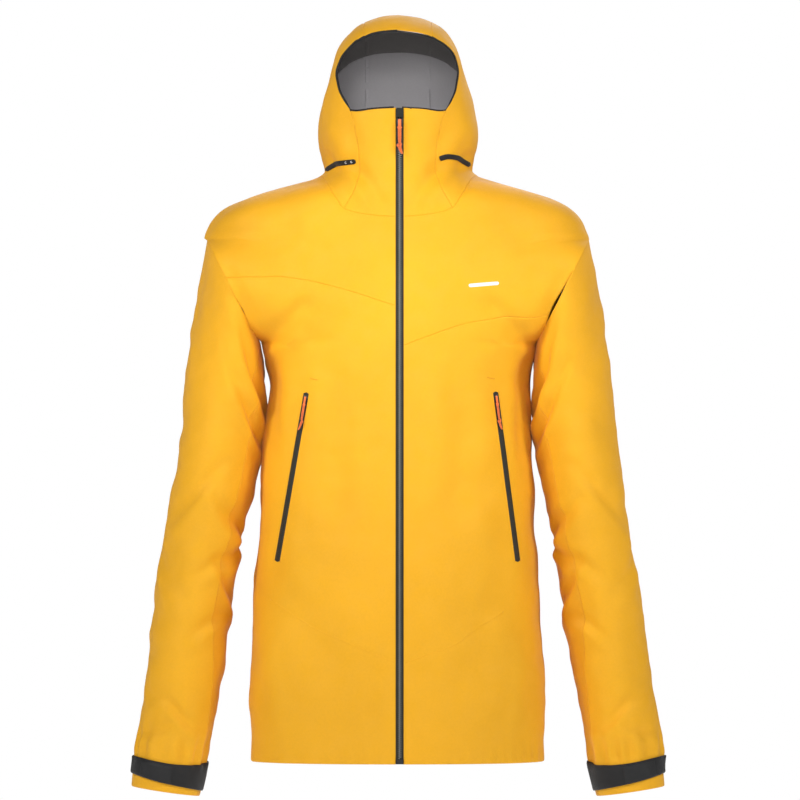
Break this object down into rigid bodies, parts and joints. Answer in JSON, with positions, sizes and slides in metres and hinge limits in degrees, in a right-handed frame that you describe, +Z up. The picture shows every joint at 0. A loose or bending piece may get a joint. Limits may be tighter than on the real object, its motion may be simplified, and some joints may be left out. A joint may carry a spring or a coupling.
{
  "type": "hardshell jacket",
  "caption": "Hooded waterproof shell jacket with full-length front zip, slanted pocket zips, cuff tabs, hood adjusters and hem drawcord.",
  "frame": {"origin": "inside of the hanger loop at the nape", "axes": "+Z up towards the hood, -Y out of the chest, +X towards the wearer's left arm"},
  "size_m": [0.6436, 0.2442, 0.938],
  "materials": {
    "shell_fabric": "matte",
    "under_fabric": "matte",
    "grey_lining": "matte",
    "dark_fabric": "matte",
    "zip_tape": "matte",
    "zip_teeth": "satin",
    "slider_metal": "satin",
    "orange_cord": "matte",
    "dark_plastic": "matte"
  },
  "bodies": {
    "shell": {"back_panel": "shell_fabric", "back_yoke": "shell_fabric", "hanger_loop": "dark_fabric", "hem_drawcord": "dark_fabric", "hem_facing": "shell_fabric", "storm_flap": "grey_lining", "zip_garage": "zip_tape", "zip_retaining_box": "dark_plastic", "front_panel_left": "shell_fabric", "front_yoke_left": "shell_fabric", "collar_left": "shell_fabric", "collar_lining_left": "grey_lining", "cord_lock_body_left": "dark_plastic", "pocket_bag_left": "grey_lining", "pocket_zip_left": "zip_tape", "zip_tape_left": "zip_tape", "zip_teeth_left": "zip_teeth", "front_panel_right": "shell_fabric", "front_yoke_right": "shell_fabric", "collar_right": "shell_fabric", "collar_lining_right": "grey_lining", "cord_lock_body_right": "dark_plastic", "pocket_bag_right": "grey_lining", "pocket_zip_right": "zip_tape", "zip_tape_right": "zip_tape", "zip_teeth_right": "zip_teeth"},
    "hood": {"hood_centre_panel": "shell_fabric", "hood_panel_left": "shell_fabric", "hood_panel_right": "shell_fabric", "hood_lining": "grey_lining", "hood_facing": "dark_fabric", "hood_adjuster_left": "dark_fabric", "hood_adjuster_right": "dark_fabric", "hood_rear_adjuster": "dark_fabric"},
    "main_slider": {"main_slider": "slider_metal"},
    "main_pull": {"main_pull": "orange_cord"},
    "sleeve_left": {"sleeve_outer_left": "shell_fabric", "sleeve_under_left": "under_fabric", "cuff_patch_left": "dark_fabric"},
    "cuff_tab_left": {"cuff_tab_left": "dark_fabric"},
    "pocket_slider_left": {"pocket_slider_left": "slider_metal"},
    "pocket_pull_left": {"pocket_pull_left": "orange_cord"},
    "cord_lock_button_left": {"cord_lock_button_left": "dark_plastic"},
    "sleeve_right": {"sleeve_outer_right": "shell_fabric", "sleeve_under_right": "under_fabric", "cuff_patch_right": "dark_fabric"},
    "cuff_tab_right": {"cuff_tab_right": "dark_fabric"},
    "pocket_slider_right": {"pocket_slider_right": "slider_metal"},
    "pocket_pull_right": {"pocket_pull_right": "orange_cord"},
    "cord_lock_button_right": {"cord_lock_button_right": "dark_plastic"}
  },
  "joints": [
    {"name": "main_zip_slide", "type": "slide", "parent": "shell", "child": "main_slider", "axis": [0, -0.0179, -0.9998], "range_m": [0, 0.74]},
    {"name": "main_pull_swing", "type": "hinge", "parent": "main_slider", "child": "main_pull", "pos_m": [0.002, -0.19784, 0.063], "axis": [-1, 0, 0], "range_deg": [0, 150]},
    {"name": "hood_tilt", "type": "hinge", "parent": "shell", "child": "hood", "pos_m": [0, 0.0085, -0.0032], "axis": [-1, 0, 0], "range_deg": [0, 25]},
    {"name": "pocket_zip_left_slide", "type": "slide", "parent": "shell", "child": "pocket_slider_left", "axis": [0.1314, 0.0796, -0.9881], "range_m": [0, 0.18]},
    {"name": "pocket_pull_left_swing", "type": "hinge", "parent": "pocket_slider_left", "child": "pocket_pull_left", "pos_m": [0.11936, -0.17029, -0.26593], "axis": [-0.7959, -0.6055, 0], "range_deg": [0, 120]},
    {"name": "sleeve_left_lift", "type": "hinge", "parent": "shell", "child": "sleeve_left", "pos_m": [0.229, -0.084, -0.078], "axis": [0, -1, 0], "range_deg": [0, 45]},
    {"name": "cuff_tab_left_peel", "type": "hinge", "parent": "sleeve_left", "child": "cuff_tab_left", "pos_m": [0.3206, -0.0842, -0.707], "axis": [-0.156, 0, 0.9878], "range_deg": [0, 60]},
    {"name": "cord_lock_left_press", "type": "slide", "parent": "shell", "child": "cord_lock_button_left", "axis": [0, 0, -1], "range_m": [0, 0.003], "stiffness_N_per_m": 300},
    {"name": "pocket_zip_right_slide", "type": "slide", "parent": "shell", "child": "pocket_slider_right", "axis": [-0.1697, 0.1086, -0.9795], "range_m": [0, 0.18]},
    {"name": "pocket_pull_right_swing", "type": "hinge", "parent": "pocket_slider_right", "child": "pocket_pull_right", "pos_m": [-0.11245, -0.17519, -0.26688], "axis": [-0.8364, 0.5481, 0], "range_deg": [0, 120]},
    {"name": "sleeve_right_lift", "type": "hinge", "parent": "shell", "child": "sleeve_right", "pos_m": [-0.229, -0.084, -0.078], "axis": [0, 1, 0], "range_deg": [0, 45]},
    {"name": "cuff_tab_right_peel", "type": "hinge", "parent": "sleeve_right", "child": "cuff_tab_right", "pos_m": [-0.3206, -0.0842, -0.707], "axis": [-0.156, 0, -0.9878], "range_deg": [0, 60]},
    {"name": "cord_lock_right_press", "type": "slide", "parent": "shell", "child": "cord_lock_button_right", "axis": [0, 0, -1], "range_m": [0, 0.003], "stiffness_N_per_m": 300}
  ]
}
